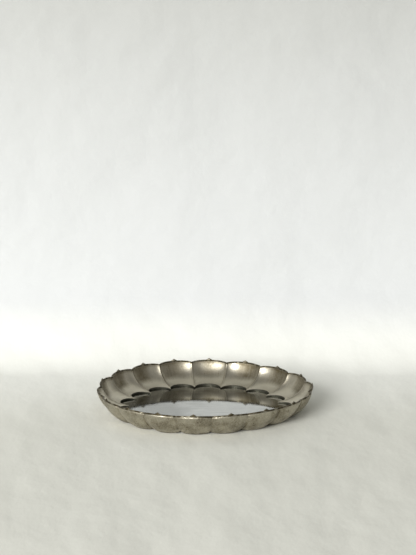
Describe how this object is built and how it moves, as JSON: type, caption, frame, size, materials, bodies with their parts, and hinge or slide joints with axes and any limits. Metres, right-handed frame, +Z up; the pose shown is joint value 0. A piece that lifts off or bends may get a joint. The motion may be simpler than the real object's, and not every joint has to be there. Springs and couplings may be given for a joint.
{
  "type": "paten plate",
  "caption": "Shallow round metal paten with a flat mirror-polished well, a wall of concave flutes and a scalloped, wired rim with small raised points.",
  "frame": {"origin": "middle of the dish's footprint on the surface that it stands on", "axes": "+Z up out of the well; +Y towards the side with the first lobe, which is the far side in the usual view; +X to the right in that view"},
  "size_m": [0.1616, 0.1603, 0.019],
  "materials": {
    "polished_pewter": "mirror-polished pewter with faint straight wiping scratches",
    "worn_pewter": "satin pewter, warm brown-grey tarnish, burnished on the far flutes, pitted outside",
    "rim_pewter": "satin pewter wire, darker tarnish with rubbed highlights",
    "cast_pewter": "cast pewter, rubbed bright on top and dark at the foot"
  },
  "bodies": {
    "root": {"well_plate": "polished_pewter", "fluted_wall": "worn_pewter", "rim_wire": "rim_pewter", "rim_point_01": "cast_pewter", "rim_point_02": "cast_pewter", "rim_point_03": "cast_pewter", "rim_point_04": "cast_pewter", "rim_point_05": "cast_pewter", "rim_point_06": "cast_pewter", "rim_point_07": "cast_pewter", "rim_point_08": "cast_pewter", "rim_point_09": "cast_pewter", "rim_point_10": "cast_pewter", "rim_point_11": "cast_pewter", "rim_point_12": "cast_pewter", "rim_point_13": "cast_pewter", "rim_point_14": "cast_pewter", "rim_point_15": "cast_pewter", "rim_point_16": "cast_pewter", "rim_point_17": "cast_pewter", "rim_point_18": "cast_pewter"}
  },
  "joints": []
}
